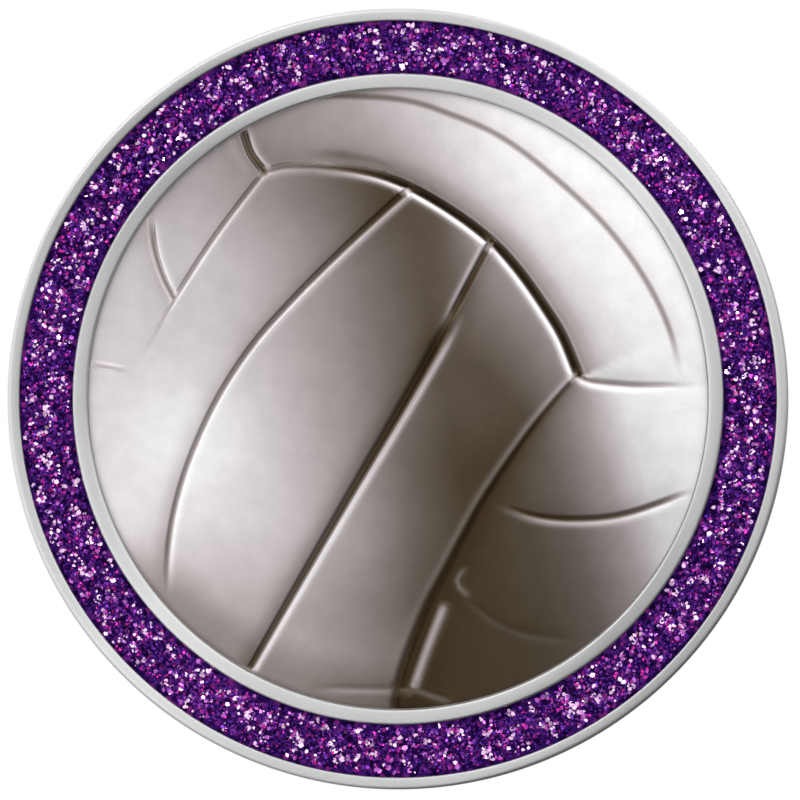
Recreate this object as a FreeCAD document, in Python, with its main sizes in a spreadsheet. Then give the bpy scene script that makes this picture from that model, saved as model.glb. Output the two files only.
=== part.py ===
import FreeCAD, Part
import math
import os
import Sketcher

# Round pin-back emblem: a die-cast tray with a glitter band, a bezel ring and a volleyball relief,
# held to cloth by two posts and two butterfly clutches.
#
# Millimetres. The emblem stands upright: its face looks along -Y, its cloth-side face is the plane
# y = 0, and the origin is the middle of that face. +Z is up.

DIMENSIONS = [
    # Emblem
    ("emblem_radius", 25.4),
    ("rim_width", 0.78),
    ("rim_height", 3.0),
    ("rim_inner_rounding", 0.16),
    ("rim_outer_rounding", 0.3),
    ("back_chamfer", 0.3),
    ("floor_height", 1.2),
    ("band_height", 2.55),
    ("fit_gap", 0.02),
    # Bezel ring
    ("ring_outer_radius", 21.19),
    ("ring_inner_radius", 20.2),
    ("ring_height", 3.1),
    ("ring_lip", 0.75),
    ("ring_wall", 0.54),
    ("ring_seat_depth", 0.3),
    ("ring_inner_rounding", 0.22),
    ("ring_outer_rounding", 0.22),
    # Medallion
    ("flange_radius", 20.6),
    ("flange_height", 2.3),
    ("relief_radius", 20.14),
    ("relief_edge_height", 2.5),
    ("relief_rise", 1.7),
    ("seam_width", 0.5),
    ("seam_depth", 0.3),
    ("adhesive_radius", 19.8),
    ("adhesive_thickness", 0.2),
    # Posts
    ("post_offset", 15.0),
    ("post_lift", 7.0),
    ("post_radius", 0.6),
    ("pad_radius", 2.5),
    ("pad_thickness", 0.3),
    ("groove_radius", 0.38),
    ("near_groove_start", 2.5),
    ("far_groove_start", 5.7),
    ("groove_width", 0.8),
    ("point_start", 7.0),
    ("point_end", 8.2),
    ("point_radius", 0.1),
    # Clutches
    ("clutch_start", 2.4),
    ("clutch_radius", 5.6),
    ("clutch_hole_radius", 0.75),
    ("brass_thickness", 0.3),
    ("cup_height", 1.0),
    ("cup_rounding", 0.25),
    ("cover_radius", 5.25),
    ("cover_top", 3.9),
    ("cover_rounding", 0.45),
    ("slot_offset", 2.6),
    ("slot_half_breadth", 0.45),
    ("slot_half_length", 1.35),
    ("spring_height", 2.92),
    ("wire_radius", 0.2),
    ("wire_offset", 0.62),
    ("wire_reach", 1.3),
    ("wire_tail", 1.9),
    # Clutch wings
    ("wing_half_thickness", 0.2),
    ("wing_foot_start", 2.9),
    ("wing_foot_end", 3.5),
    ("wing_ear_start", 4.2),
    ("wing_bend", 4.3),
    ("wing_curl", 7.3),
    ("wing_end", 8.3),
    ("wing_flare", 1.75),
    ("wing_tip_flare", 2.05),
    ("wing_blank", 5.5),
    ("trim_margin", 1.0),
    ("foot_half_width", 1.7),
    ("neck_half_width", 1.2),
    ("ear_half_width", 2.8),
    ("ear_rounding", 1.9),
    ("bend_rounding", 0.3),
]

# Each seam of the relief is one circular arc through three points (x, z) of the emblem's face.
SEAMS = {
    "top panel, lower edge": ((-8.7, 14.8), (6.1, 10.3), (11.8, 1.6)),
    "top panel, left end": ((-8.7, 14.8), (-9.6, 16.0), (-10.2, 17.6)),
    "top panel, upper edge": ((-5.1, 19.8), (10.1, 14.6), (18.5, 1.2)),
    "right panels, top edge": ((11.8, 1.6), (15.1, 0.9), (20.6, 0.9)),
    "first strip": ((0.4, 13.8), (-10.6, 1.8), (-15.1, -13.1)),
    "second strip": ((6.1, 10.3), (0.1, -0.9), (-9.6, -17.6)),
    "third strip": ((11.8, 1.6), (4.6, -8.4), (-0.2, -19.3)),
    "left panels, inner edge": ((-8.7, 14.8), (-14.4, 6.7), (-19.3, -2.0)),
    "left panels, short seam": ((-16.1, 12.5), (-15.9, 10.0), (-14.5, 6.7)),
    "right panels, middle seam": ((4.8, -6.1), (11.8, -7.8), (19.6, -5.6)),
    "right panels, lower seam": ((3.3, -12.5), (8.5, -15.35), (13.5, -15.6)),
    "bottom seam": ((-6.0, -18.8), (-0.2, -19.0), (6.0, -19.2)),
}

# A pocket has to take away at least this share of its body.
SMALLEST_CUT = 0.001
# Points closer together than this, in millimetres, count as one place.
SAME_PLACE = 1e-4

doc = FreeCAD.newDocument("round_emblem")
sheet = doc.addObject("Spreadsheet::Sheet", "sizes")
for row, (alias, number) in enumerate(DIMENSIONS, start=1):
    sheet.set("A%d" % row, str(number))
    sheet.setAlias("A%d" % row, alias)
doc.recompute()

sub_parts = []


def words_of(terms):
    """Split a sum such as 'ring_height - ring_lip' into (sign, name) pairs."""
    pairs = []
    sign = 1
    for word in terms.split():
        if word in ("+", "-"):
            sign = 1 if word == "+" else -1
        else:
            pairs.append((sign, word))
            sign = 1
    return pairs


def amount(terms):
    """Value in millimetres of a sum of the sheet's dimensions."""
    return sum(sign * getattr(sheet, name) for sign, name in words_of(terms))


def formula(terms):
    """The same sum as an expression that follows the sheet."""
    return " ".join("%s sizes.%s" % ("+" if sign > 0 else "-", name) for sign, name in words_of(terms))


def finished(item, label):
    """Name a sub-part and put it on the list of pieces to write."""
    item.Label = label
    sub_parts.append(item)
    return item


def new_body(label):
    """A body that is one of the pieces to write."""
    return finished(doc.addObject("PartDesign::Body", label), label)


def sketch_on(body, role, name):
    """A sketch on one of the body's own origin planes."""
    sketch = body.newObject("Sketcher::SketchObject", name)
    plane = next(item for item in body.Origin.OriginFeatures if item.Role == role)
    sketch.AttachmentSupport = (plane, [""])
    sketch.MapMode = "FlatFace"
    return sketch


def pin_point(sketch, edge, end, terms, kind):
    """Tie one coordinate of a point to the sheet. An empty sum means that it lies on the axis."""
    if terms:
        number = sketch.addConstraint(Sketcher.Constraint(kind, -1, 1, edge, end, amount(terms)))
        sketch.setExpression("Constraints[%d]" % number, formula(terms))
    else:
        axis = -2 if kind == "DistanceX" else -1
        sketch.addConstraint(Sketcher.Constraint("PointOnObject", edge, end, axis))


def draw_outline(sketch, corners):
    """Closed outline of straight edges through corners given as pairs of sums."""
    spots = [FreeCAD.Vector(amount(u), amount(v), 0) for u, v in corners]
    first = sketch.GeometryCount
    count = len(spots)
    for i in range(count):
        sketch.addGeometry(Part.LineSegment(spots[i], spots[(i + 1) % count]), False)
    for i in range(count):
        following = first + (i + 1) % count
        sketch.addConstraint(Sketcher.Constraint("Coincident", first + i, 2, following, 1))
    for i, (u, v) in enumerate(corners):
        pin_point(sketch, first + i, 1, u, "DistanceX")
        pin_point(sketch, first + i, 1, v, "DistanceY")


def turned_about_y(body, sketch):
    """Turn a sketch on the XY plane once round the Y axis."""
    turned = body.newObject("PartDesign::Revolution", "turned")
    turned.Profile = sketch
    turned.ReferenceAxis = (sketch, ["V_Axis"])
    turned.Angle = 360
    sketch.Visibility = False
    doc.recompute()
    return turned


def turn_outline(body, corners):
    """Turn an outline of (radius, y) corners about the Y axis."""
    sketch = sketch_on(body, "XY_Plane", "profile")
    draw_outline(sketch, corners)
    return turned_about_y(body, sketch)


def draw_circle(sketch, u, v, radius):
    """Circle whose centre and radius are sums of dimensions."""
    centre = FreeCAD.Vector(amount(u), amount(v), 0)
    circle = sketch.addGeometry(Part.Circle(centre, FreeCAD.Vector(0, 0, 1), amount(radius)), False)
    pin_point(sketch, circle, 3, u, "DistanceX")
    pin_point(sketch, circle, 3, v, "DistanceY")
    number = sketch.addConstraint(Sketcher.Constraint("Radius", circle, amount(radius)))
    sketch.setExpression("Constraints[%d]" % number, formula(radius))


def draw_rectangle(sketch, left, right, bottom, top):
    """Rectangle with its sides at four sums of dimensions."""
    draw_outline(sketch, [(left, bottom), (right, bottom), (right, top), (left, top)])


def cut_with(body, sketch, before, length=None):
    """Pocket through the whole body, or to a depth, that has to take material away."""
    pocket = body.newObject("PartDesign::Pocket", "cut")
    pocket.Profile = sketch
    if length:
        pocket.Reversed = True
        pocket.setExpression("Length", formula(length))
    else:
        pocket.Type = "ThroughAll"
        pocket.Midplane = True
    sketch.Visibility = False
    doc.recompute()
    if pocket.Shape.Volume > before.Shape.Volume * (1 - SMALLEST_CUT):
        raise RuntimeError("a pocket of %s cut nothing" % body.Label)
    return pocket


def rounded(body, base, wanted, size, kind="PartDesign::Fillet"):
    """Round or chamfer the edges of the base feature that the test picks."""
    names = ["Edge%d" % i for i, edge in enumerate(base.Shape.Edges, start=1) if wanted(edge)]
    feature = body.newObject(kind, "edges")
    feature.Base = (base, names)
    feature.setExpression("Radius" if kind == "PartDesign::Fillet" else "Size", formula(size))
    doc.recompute()
    return feature


def is_circle(edge, radius, y):
    """True for a full circle about the Y axis with this radius, in the plane at y."""
    curve = edge.Curve
    if not isinstance(curve, Part.Circle):
        return False
    middle = curve.Center
    centred = math.hypot(middle.x, middle.z) < SAME_PLACE
    return centred and abs(curve.Radius - radius) < SAME_PLACE and abs(middle.y - y) < SAME_PLACE


def make_tray():
    """Die-cast tray: floor, raised outer rim, a seat for the bezel ring and two recesses for the posts."""
    body = new_body("badge_tray")
    ring_in = "ring_outer_radius - ring_wall - fit_gap"
    ring_out = "ring_outer_radius + fit_gap"
    seat = "- floor_height + ring_seat_depth"
    tray = turn_outline(body, [
        ("", ""),
        ("emblem_radius", ""),
        ("emblem_radius", "- rim_height"),
        ("emblem_radius - rim_width", "- rim_height"),
        ("emblem_radius - rim_width", "- floor_height"),
        (ring_out, "- floor_height"),
        (ring_out, seat),
        (ring_in, seat),
        (ring_in, "- floor_height"),
        ("", "- floor_height"),
    ])
    recesses = sketch_on(body, "XZ_Plane", "post_recesses")
    for across in ("- post_offset", "post_offset"):
        draw_circle(recesses, across, "post_lift", "pad_radius + fit_gap")
    pocket = cut_with(body, recesses, tray, "pad_thickness")
    outer = sheet.emblem_radius
    inner = sheet.emblem_radius - sheet.rim_width
    top = -sheet.rim_height
    rim = rounded(body, pocket, lambda e: is_circle(e, inner, top), "rim_inner_rounding")
    rim = rounded(body, rim, lambda e: is_circle(e, outer, top), "rim_outer_rounding")
    rounded(body, rim, lambda e: is_circle(e, outer, 0.0), "back_chamfer", "PartDesign::Chamfer")


def make_glitter_band():
    """Ring of glitter resin poured between the rim and the bezel ring."""
    body = new_body("glitter_band")
    inner = "ring_outer_radius + fit_gap"
    outer = "emblem_radius - rim_width - fit_gap"
    turn_outline(body, [
        (inner, "- floor_height"),
        (outer, "- floor_height"),
        (outer, "- band_height"),
        (inner, "- band_height"),
    ])


def make_bezel_ring():
    """Ring seated in the tray's floor, with a lip over the medallion's edge."""
    body = new_body("bezel_ring")
    bore = "ring_outer_radius - ring_wall"
    under_lip = "- ring_height + ring_lip"
    turned = turn_outline(body, [
        (bore, "- floor_height + ring_seat_depth"),
        ("ring_outer_radius", "- floor_height + ring_seat_depth"),
        ("ring_outer_radius", "- ring_height"),
        ("ring_inner_radius", "- ring_height"),
        ("ring_inner_radius", under_lip),
        (bore, under_lip),
    ])
    inner = sheet.ring_inner_radius
    outer = sheet.ring_outer_radius
    top = -sheet.ring_height
    ring = rounded(body, turned, lambda e: is_circle(e, inner, top), "ring_inner_rounding")
    rounded(body, ring, lambda e: is_circle(e, outer, top), "ring_outer_rounding")


def make_adhesive():
    """Adhesive disc between the tray's floor and the medallion."""
    body = new_body("medallion_adhesive")
    under_medallion = "- floor_height - adhesive_thickness"
    turn_outline(body, [
        ("", "- floor_height"),
        ("adhesive_radius", "- floor_height"),
        ("adhesive_radius", under_medallion),
        ("", under_medallion),
    ])


def make_dome(name, sunk):
    """Domed disc of the relief, with its surface sunk below the relief's by a sum of dimensions."""
    body = doc.addObject("PartDesign::Body", name)
    sketch = sketch_on(body, "XY_Plane", "dome_profile")
    back = "- floor_height - adhesive_thickness"
    edge = "- relief_edge_height" + sunk
    crown = "- relief_edge_height - relief_rise" + sunk
    corners = [("", crown), ("", back), ("relief_radius", back), ("relief_radius", edge)]
    spots = [FreeCAD.Vector(amount(u), amount(v), 0) for u, v in corners]
    radius = (sheet.relief_radius ** 2 + sheet.relief_rise ** 2) / (2 * sheet.relief_rise)
    half_span = math.asin(sheet.relief_radius / radius)
    ball = Part.Circle(spots[0] + FreeCAD.Vector(0, radius, 0), FreeCAD.Vector(0, 0, 1), radius)
    arc = sketch.addGeometry(Part.ArcOfCircle(ball, -math.pi / 2, half_span - math.pi / 2), False)
    lines = [sketch.addGeometry(Part.LineSegment(a, b), False) for a, b in zip(spots, spots[1:])]
    axis_line, back_line, wall_line = lines
    for joined in ((arc, 1, axis_line, 1), (axis_line, 2, back_line, 1), (back_line, 2, wall_line, 1),
                   (wall_line, 2, arc, 2)):
        sketch.addConstraint(Sketcher.Constraint("Coincident", *joined))
    for line, (u, v) in zip(lines, corners):
        pin_point(sketch, line, 1, u, "DistanceX")
        pin_point(sketch, line, 1, v, "DistanceY")
    pin_point(sketch, wall_line, 2, "relief_radius", "DistanceX")
    pin_point(sketch, wall_line, 2, edge, "DistanceY")
    sketch.addConstraint(Sketcher.Constraint("PointOnObject", arc, 3, -2))
    turned_about_y(body, sketch)
    return body


def seam_band(points):
    """Flat strip of the seam's width along one arc, as a face in the plane y = 0."""
    start, middle, end = [FreeCAD.Vector(x, 0, z) for x, z in points]
    circle = Part.Arc(start, middle, end).toShape().Curve
    centre = circle.Center
    edges = []
    for offset in (-sheet.seam_width / 2, sheet.seam_width / 2):
        share = 1 + offset / circle.Radius
        moved = [centre + (p - centre) * share for p in (start, middle, end)]
        edges.append(Part.Arc(*moved).toShape())
    inner, outer = edges
    ends = [Part.makeLine(inner.valueAt(inner.FirstParameter), outer.valueAt(outer.FirstParameter)),
            Part.makeLine(inner.valueAt(inner.LastParameter), outer.valueAt(outer.LastParameter))]
    return Part.Face(Part.Wire(Part.__sortEdges__(edges + ends)))


def make_medallion():
    """Relief disc: a domed face with a groove along every seam, on a flange that the bezel covers."""
    dome = make_dome("relief_dome", "")
    floor_of_grooves = make_dome("groove_floor", " + seam_depth")
    strips = doc.addObject("Part::Feature", "seam_strips")
    reach = FreeCAD.Vector(0, -sheet.relief_edge_height - sheet.relief_rise, 0)
    solids = [seam_band(points).extrude(reach) for points in SEAMS.values()]
    strips.Shape = solids[0].fuse(solids[1:])
    grooves = doc.addObject("Part::Cut", "seam_grooves")
    grooves.Base = strips
    grooves.Tool = floor_of_grooves
    relief = doc.addObject("Part::Cut", "relief")
    relief.Base = dome
    relief.Tool = grooves
    flange = doc.addObject("Part::Cylinder", "flange")
    flange.setExpression("Radius", "sizes.flange_radius")
    flange.setExpression("Height", "sizes.flange_height - sizes.floor_height - sizes.adhesive_thickness")
    flange.setExpression("Placement.Base.y", "-sizes.floor_height - sizes.adhesive_thickness")
    flange.Placement.Rotation = FreeCAD.Rotation(FreeCAD.Vector(1, 0, 0), 90)
    medallion = doc.addObject("Part::Fuse", "volleyball_medallion")
    medallion.Base = flange
    medallion.Tool = relief
    doc.recompute()
    finished(medallion, "volleyball_medallion")


def stand_at_post(item, side):
    """Move a piece made about the Y axis to the left (-1) or right (1) post."""
    item.setExpression("Placement.Base.x", "%d * sizes.post_offset" % side)
    item.setExpression("Placement.Base.z", "sizes.post_lift")


def make_post(name, side):
    """Pointed post with two grooves and a flat pad let into the emblem's back."""
    body = new_body(name + "_post")
    near = "near_groove_start"
    far = "far_groove_start"
    turn_outline(body, [
        ("", "- pad_thickness"),
        ("pad_radius", "- pad_thickness"),
        ("pad_radius", ""),
        ("post_radius", ""),
        ("post_radius", near),
        ("groove_radius", near),
        ("groove_radius", near + " + groove_width"),
        ("post_radius", near + " + groove_width"),
        ("post_radius", far),
        ("groove_radius", far),
        ("groove_radius", far + " + groove_width"),
        ("post_radius", far + " + groove_width"),
        ("post_radius", "point_start"),
        ("point_radius", "point_end"),
        ("", "point_end"),
    ])
    stand_at_post(body, side)


def make_clutch_cup(name, side):
    """Front disc of the clutch with a turned-up wall and a hole for the post."""
    body = new_body(name + "_clutch_cup")
    inside = "clutch_start + brass_thickness"
    turned = turn_outline(body, [
        ("clutch_hole_radius", "clutch_start"),
        ("clutch_radius", "clutch_start"),
        ("clutch_radius", "clutch_start + cup_height"),
        ("clutch_radius - brass_thickness", "clutch_start + cup_height"),
        ("clutch_radius - brass_thickness", inside),
        ("clutch_hole_radius", inside),
    ])
    front = sheet.clutch_start
    rounded(body, turned, lambda e: is_circle(e, sheet.clutch_radius, front), "cup_rounding")
    stand_at_post(body, side)


def make_clutch_cover(name, side):
    """Stamped cover crimped into the cup, with a hole for the post and a slot for each wing."""
    body = new_body(name + "_clutch_cover")
    inside = "cover_radius - brass_thickness"
    turned = turn_outline(body, [
        (inside, "clutch_start + brass_thickness"),
        ("cover_radius", "clutch_start + brass_thickness"),
        ("cover_radius", "cover_top"),
        ("clutch_hole_radius", "cover_top"),
        ("clutch_hole_radius", "cover_top - brass_thickness"),
        (inside, "cover_top - brass_thickness"),
    ])
    slots = sketch_on(body, "XZ_Plane", "wing_slots")
    for middle in ("- slot_offset", "slot_offset"):
        draw_rectangle(slots, middle + " - slot_half_breadth", middle + " + slot_half_breadth",
                       "- slot_half_length", "slot_half_length")
    pocket = cut_with(body, slots, turned)
    top = sheet.cover_top
    rounded(body, pocket, lambda e: is_circle(e, sheet.cover_radius, top), "cover_rounding")
    stand_at_post(body, side)


def make_clutch_spring(name, side):
    """Hairpin spring: two legs that lie in the post's groove, joined by a bend."""
    tools = []
    for leg, offset in (("upper", 1), ("lower", -1)):
        wire = doc.addObject("Part::Cylinder", "%s_%s_leg" % (name, leg))
        wire.setExpression("Radius", "sizes.wire_radius")
        wire.setExpression("Height", "sizes.wire_tail + sizes.wire_reach")
        wire.setExpression("Placement.Base.x", "-sizes.wire_tail")
        wire.setExpression("Placement.Base.y", "sizes.spring_height")
        wire.setExpression("Placement.Base.z", "%d * sizes.wire_offset" % offset)
        wire.Placement.Rotation = FreeCAD.Rotation(FreeCAD.Vector(0, 1, 0), 90)
        tools.append(wire)
    bend = doc.addObject("Part::Torus", name + "_bend")
    bend.setExpression("Radius1", "sizes.wire_offset")
    bend.setExpression("Radius2", "sizes.wire_radius")
    bend.Angle3 = 180
    bend.setExpression("Placement.Base.x", "sizes.wire_reach")
    bend.setExpression("Placement.Base.y", "sizes.spring_height")
    lie_down = FreeCAD.Rotation(FreeCAD.Vector(1, 0, 0), 90)
    bend.Placement.Rotation = FreeCAD.Rotation(FreeCAD.Vector(0, 1, 0), 90).multiply(lie_down)
    tools.append(bend)
    spring = doc.addObject("Part::MultiFuse", name + "_clutch_spring")
    spring.Shapes = tools
    stand_at_post(spring, side)
    finished(spring, name + "_clutch_spring")


def make_wing(label, side, turned_round):
    """Stamped wing: a foot inside the clutch, a neck through its slot and a flared, rounded ear."""
    body = new_body(label)
    blank = sketch_on(body, "YZ_Plane", "wing_blank")
    draw_outline(blank, [
        ("wing_foot_start", "- foot_half_width"),
        ("wing_foot_end", "- foot_half_width"),
        ("wing_foot_end", "- neck_half_width"),
        ("wing_ear_start", "- neck_half_width"),
        ("wing_ear_start", "- ear_half_width"),
        ("wing_end", "- ear_half_width"),
        ("wing_end", "ear_half_width"),
        ("wing_ear_start", "ear_half_width"),
        ("wing_ear_start", "neck_half_width"),
        ("wing_foot_end", "neck_half_width"),
        ("wing_foot_end", "foot_half_width"),
        ("wing_foot_start", "foot_half_width"),
    ])
    pad = body.newObject("PartDesign::Pad", "blank")
    pad.Profile = blank
    pad.setExpression("Length", formula("wing_blank"))
    blank.Visibility = False
    doc.recompute()
    ear = rounded(body, pad, is_ear_corner, "ear_rounding")
    bent = sketch_on(body, "XY_Plane", "wing_bend")
    inside = "slot_offset - wing_half_thickness"
    outside = "slot_offset + wing_half_thickness"
    draw_outline(bent, [
        (inside, "wing_foot_start"),
        (outside, "wing_foot_start"),
        (outside, "wing_bend"),
        (outside + " + wing_flare", "wing_curl"),
        (outside + " + wing_tip_flare", "wing_end"),
        (inside + " + wing_tip_flare", "wing_end"),
        (inside + " + wing_flare", "wing_curl"),
        (inside, "wing_bend"),
    ])
    draw_rectangle(bent, "- trim_margin", "wing_blank + trim_margin",
                   "wing_foot_start - trim_margin", "wing_end + trim_margin")
    sheet_metal = cut_with(body, bent, ear)
    rounded(body, sheet_metal, is_bend, "bend_rounding")
    if turned_round:
        body.Placement.Rotation = FreeCAD.Rotation(FreeCAD.Vector(0, 1, 0), 180)
    stand_at_post(body, side)


def is_ear_corner(edge):
    """True for the two edges across the free corners of a wing's ear."""
    ends = [v.Point for v in edge.Vertexes]
    at_tip = all(abs(p.y - sheet.wing_end) < SAME_PLACE for p in ends)
    return at_tip and len(ends) == 2 and abs(ends[0].z - ends[1].z) < SAME_PLACE


def is_bend(edge):
    """True for the edges along the two folds of a wing."""
    ends = [v.Point for v in edge.Vertexes]
    if len(ends) != 2 or math.hypot(ends[0].x - ends[1].x, ends[0].y - ends[1].y) > SAME_PLACE:
        return False
    return any(abs(ends[0].y - fold) < SAME_PLACE for fold in (sheet.wing_bend, sheet.wing_curl))


def build():
    """Make every piece."""
    make_tray()
    make_glitter_band()
    make_bezel_ring()
    make_adhesive()
    make_medallion()
    for name, side in (("left", -1), ("right", 1)):
        make_post(name, side)
        make_clutch_cup(name, side)
        make_clutch_cover(name, side)
        make_clutch_spring(name, side)
        make_wing(name + "_wing_outer", side, side < 0)
        make_wing(name + "_wing_inner", side, side > 0)


def check_and_write():
    """Stop on any failed object or bad shape, then write one file for each sub-part."""
    doc.recompute()
    for item in doc.Objects:
        if "Invalid" in item.State or "Error" in item.State:
            raise RuntimeError("%s failed: %s" % (item.Label, item.State))
    os.makedirs("parts", exist_ok=True)
    for item in sub_parts:
        shape = item.Shape
        if shape.isNull() or not shape.isValid() or not shape.Solids:
            raise RuntimeError("%s has no sound shape" % item.Label)
        shape.exportStep(os.path.join("parts", item.Label + ".step"))
        print("%-24s solids %d  volume %8.2f mm3" % (item.Label, len(shape.Solids), shape.Volume))


build()
check_and_write()
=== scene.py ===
import math

import bpy
import numpy as np
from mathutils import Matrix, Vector
from mathutils.geometry import delaunay_2d_cdt


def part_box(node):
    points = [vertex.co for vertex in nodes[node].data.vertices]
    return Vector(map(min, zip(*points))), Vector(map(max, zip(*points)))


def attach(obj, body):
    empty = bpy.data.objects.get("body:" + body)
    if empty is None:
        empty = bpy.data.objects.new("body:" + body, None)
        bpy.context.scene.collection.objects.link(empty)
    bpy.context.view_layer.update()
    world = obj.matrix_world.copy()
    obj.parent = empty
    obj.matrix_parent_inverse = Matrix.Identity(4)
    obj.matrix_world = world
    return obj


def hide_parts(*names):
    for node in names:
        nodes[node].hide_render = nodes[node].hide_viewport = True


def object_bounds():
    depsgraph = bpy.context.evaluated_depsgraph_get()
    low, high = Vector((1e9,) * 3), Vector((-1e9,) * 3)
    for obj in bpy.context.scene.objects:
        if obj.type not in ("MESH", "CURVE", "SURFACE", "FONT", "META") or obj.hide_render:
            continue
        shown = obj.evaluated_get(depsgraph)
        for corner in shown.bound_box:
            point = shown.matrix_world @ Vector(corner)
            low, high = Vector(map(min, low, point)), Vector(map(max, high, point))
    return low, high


# Looks for a round pin-back emblem: satin rims, a glitter band and a volleyball relief in antiqued silver.
# Shapes are worked out in millimetres and become metres in mesh_piece.

MM = 0.001
# Distance between two rings of the wave texture at scale 1, in the texture's own units.
RING_PITCH = 2 * math.pi / 20
SHARP_DEGREES = 35.0
TINY = 1e-6

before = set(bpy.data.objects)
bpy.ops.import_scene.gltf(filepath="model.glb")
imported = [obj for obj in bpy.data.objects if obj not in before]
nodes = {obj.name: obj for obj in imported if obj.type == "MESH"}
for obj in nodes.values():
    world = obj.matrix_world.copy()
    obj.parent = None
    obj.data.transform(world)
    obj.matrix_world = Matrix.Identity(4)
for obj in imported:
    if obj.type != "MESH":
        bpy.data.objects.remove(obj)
cad_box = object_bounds()


def millimetres(node):
    """Lowest and highest corner of a CAD node, in millimetres."""
    low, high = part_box(node)
    return low / MM, high / MM


# ---------------------------------------------------------------------------------------------------
# Materials
# ---------------------------------------------------------------------------------------------------

def new_material(name, **settings):
    """A material with a Principled shader whose sockets have these values."""
    material = bpy.data.materials.new(name)
    material.use_nodes = True
    shader = material.node_tree.nodes["Principled BSDF"]
    for socket, value in settings.items():
        shader.inputs[socket.replace("_", " ")].default_value = value
    return material


def add_node(material, kind, **inputs):
    """A shader node, with values for its inputs."""
    node = material.node_tree.nodes.new("ShaderNode" + kind)
    for socket, value in inputs.items():
        node.inputs[socket.replace("_", " ")].default_value = value
    return node


def wire(material, output, target):
    """Link a node's output to another node's input."""
    material.node_tree.links.new(output, target)


def shader_of(material):
    """The material's Principled shader."""
    return material.node_tree.nodes["Principled BSDF"]


def object_place(material, scale):
    """Position on the piece at rest, in units of 1/scale of a metre."""
    place = add_node(material, "TexCoord")
    mapping = add_node(material, "Mapping", Scale=(scale, scale, scale))
    wire(material, place.outputs["Object"], mapping.inputs["Vector"])
    return mapping.outputs["Vector"]


def noise(material, size, detail=4.0, roughness=0.55):
    """Noise with features about `size` millimetres across."""
    node = add_node(material, "TexNoise", Scale=1.0, Detail=detail, Roughness=roughness)
    wire(material, object_place(material, 1 / (size * MM)), node.inputs["Vector"])
    return node.outputs["Fac"]


def ramp(material, source, stops):
    """Colour ramp from (place, colour) stops."""
    node = material.node_tree.nodes.new("ShaderNodeValToRGB")
    elements = node.color_ramp.elements
    while len(elements) < len(stops):
        elements.new(0.5)
    for element, (place, colour) in zip(elements, stops):
        element.position = place
        element.color = (*colour, 1.0)
    wire(material, source, node.inputs["Fac"])
    return node.outputs["Color"]


def between(material, source, low, high):
    """A 0 to 1 value spread over low to high."""
    node = add_node(material, "MapRange")
    node.inputs["To Min"].default_value = low
    node.inputs["To Max"].default_value = high
    wire(material, source, node.inputs["Value"])
    return node.outputs["Result"]


def combine(material, operation, first, second):
    """A sum, product or other operation on two outputs or numbers."""
    node = add_node(material, "Math")
    node.operation = operation
    for socket, value in zip(node.inputs, (first, second)):
        if isinstance(value, (int, float)):
            socket.default_value = value
        else:
            wire(material, value, socket)
    return node.outputs["Value"]


def limited(material, value, low, high):
    """A value held between two numbers."""
    return combine(material, "MINIMUM", combine(material, "MAXIMUM", value, low), high)


def tinted(material, colour, factor):
    """A colour multiplied by a shade of grey."""
    node = add_node(material, "Mix")
    node.data_type = "RGBA"
    node.blend_type = "MULTIPLY"
    node.inputs["Factor"].default_value = 1.0
    wire(material, colour, node.inputs["A"])
    wire(material, factor, node.inputs["B"])
    return node.outputs["Result"]


def add_bump(material, height, depth, strength=1.0):
    """Bump with a depth in millimetres."""
    bump = add_node(material, "Bump", Strength=strength, Distance=depth * MM)
    wire(material, height, bump.inputs["Height"])
    wire(material, bump.outputs["Normal"], shader_of(material).inputs["Normal"])


def turning_marks(material, pitch):
    """Fine rings about the Y axis, `pitch` millimetres apart."""
    rings = add_node(material, "TexWave", Scale=1.0, Distortion=0.6, Detail=2.0)
    rings.wave_type = "RINGS"
    rings.rings_direction = "Y"
    wire(material, object_place(material, RING_PITCH / (pitch * MM)), rings.inputs["Vector"])
    return rings.outputs["Fac"]


def radial_tangent(material):
    """Stretch highlights round the Y axis, as on turned metal."""
    tangent = add_node(material, "Tangent")
    tangent.direction_type = "RADIAL"
    tangent.axis = "Y"
    wire(material, tangent.outputs["Tangent"], shader_of(material).inputs["Tangent"])


def dull_to_clean(colour, dullness, places):
    """Colour ramp stops from a colour with a share of its brightness to the whole colour."""
    dull = [channel * dullness for channel in colour]
    return list(zip(places, (dull, colour)))


def satin_silver():
    """Turned and plated rim metal with very fine concentric marks."""
    material = new_material("satin_silver", Metallic=1.0, Anisotropic=0.82, Anisotropic_Rotation=0.25)
    shader = shader_of(material)
    tones = ramp(material, noise(material, 4.0), dull_to_clean((0.565, 0.575, 0.57), 0.95, (0.3, 0.7)))
    wire(material, tones, shader.inputs["Base Color"])
    grain = noise(material, 0.15, detail=2.0)
    wire(material, between(material, grain, 0.27, 0.32), shader.inputs["Roughness"])
    radial_tangent(material)
    add_bump(material, combine(material, "ADD", turning_marks(material, 0.009), grain), 0.0012)
    return material


def blasted_silver():
    """Cloth side of the tray, cast with a fine pebbled grain and rubbed on its high spots."""
    material = new_material("blasted_silver", Metallic=1.0)
    shader = shader_of(material)
    pebbles = noise(material, 0.5, detail=3.0)
    tones = [(0.35, (0.50, 0.50, 0.49)), (0.65, (0.60, 0.60, 0.59))]
    wire(material, ramp(material, pebbles, tones), shader.inputs["Base Color"])
    wire(material, between(material, noise(material, 5.0), 0.34, 0.52), shader.inputs["Roughness"])
    add_bump(material, pebbles, 0.05)
    return material


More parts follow.
